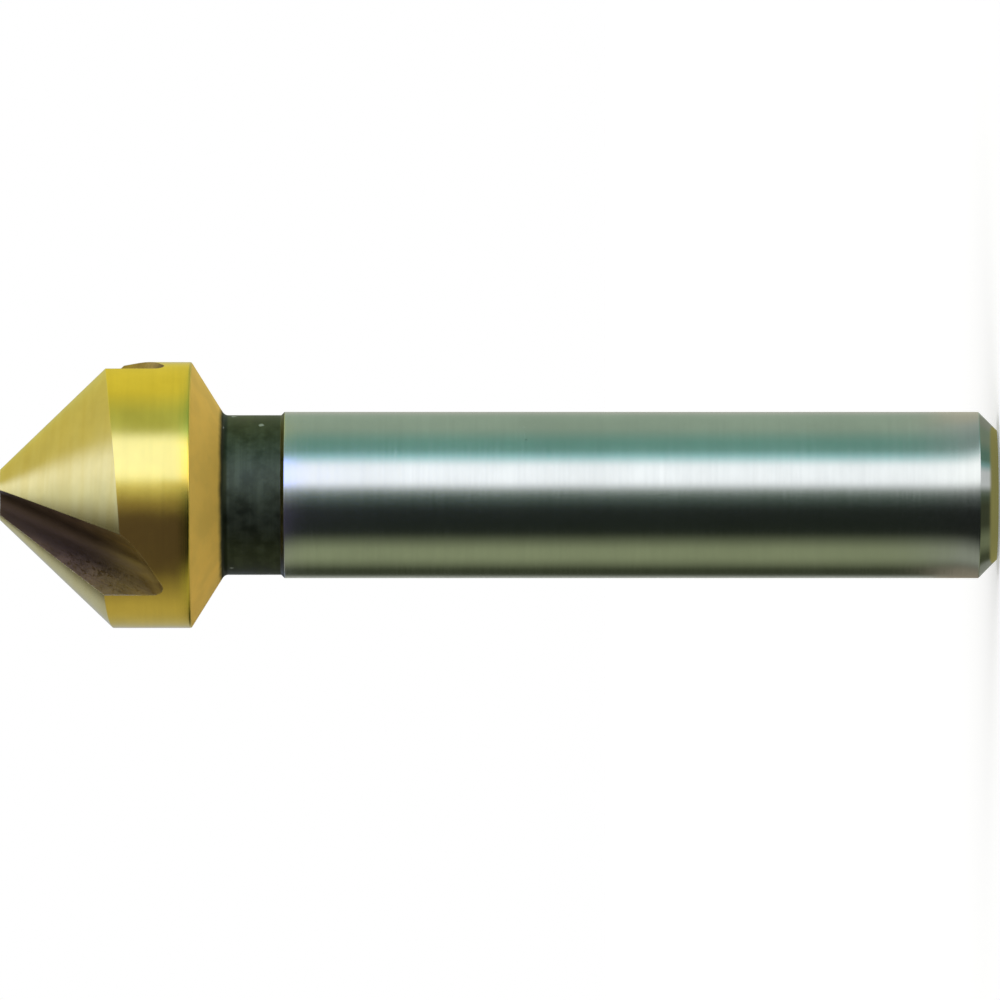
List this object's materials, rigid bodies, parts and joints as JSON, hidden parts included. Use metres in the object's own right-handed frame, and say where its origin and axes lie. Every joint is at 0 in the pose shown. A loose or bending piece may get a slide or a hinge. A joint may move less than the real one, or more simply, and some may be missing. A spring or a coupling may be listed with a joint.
{
  "type": "countersink bit",
  "caption": "Fluted cone-point countersink bit for metal with a gold coated head and a plain parallel shank for a chuck.",
  "frame": {"origin": "centre of the shank's flat end face, which the bit stands on", "axes": "+Z along the bit's axis from the shank to the point; +X along the first cutting edge, seen from above"},
  "size_m": [0.016, 0.016, 0.06],
  "materials": {
    "tool_steel": "ground bright on the shank, dark and unground on the neck, gold nitride coating on the head"
  },
  "bodies": {
    "root": {"countersink_bit": "tool_steel"}
  },
  "joints": []
}
